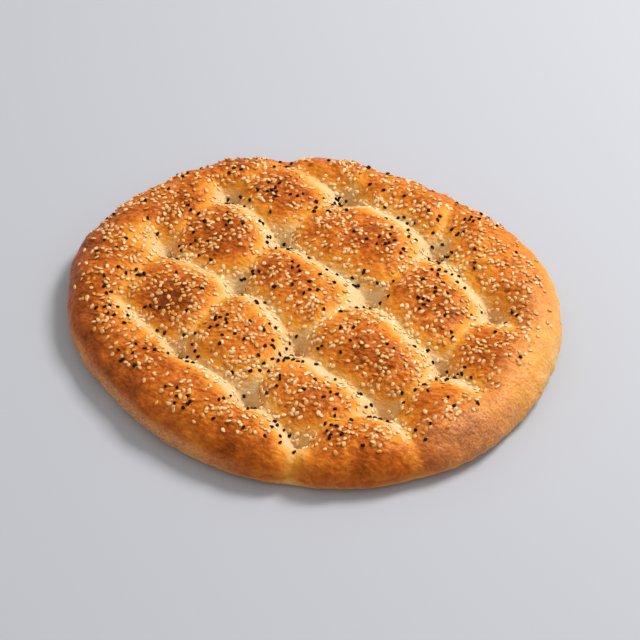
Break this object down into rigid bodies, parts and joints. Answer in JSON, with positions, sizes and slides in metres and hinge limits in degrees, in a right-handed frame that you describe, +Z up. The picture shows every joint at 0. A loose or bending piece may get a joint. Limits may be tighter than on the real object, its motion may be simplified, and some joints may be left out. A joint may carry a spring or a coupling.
{
  "type": "pide flatbread",
  "caption": "Oval risen pide flatbread with a pressed grid of grooves, puffed domes between them, and sesame and nigella seeds baked on top.",
  "frame": {"origin": "middle of the outline's box, on the flat underside", "axes": "+X along the long axis, +Y across it, +Z up out of the seeded top"},
  "size_m": [0.3019, 0.2516, 0.0313],
  "materials": {
    "crust": "egg-washed baked crust, deep golden on the domes and cream in the grooves",
    "sesame": "toasted hulled sesame seed, satin",
    "nigella": "black nigella seed, matt"
  },
  "bodies": {
    "root": {"pide": "crust"}
  },
  "joints": []
}
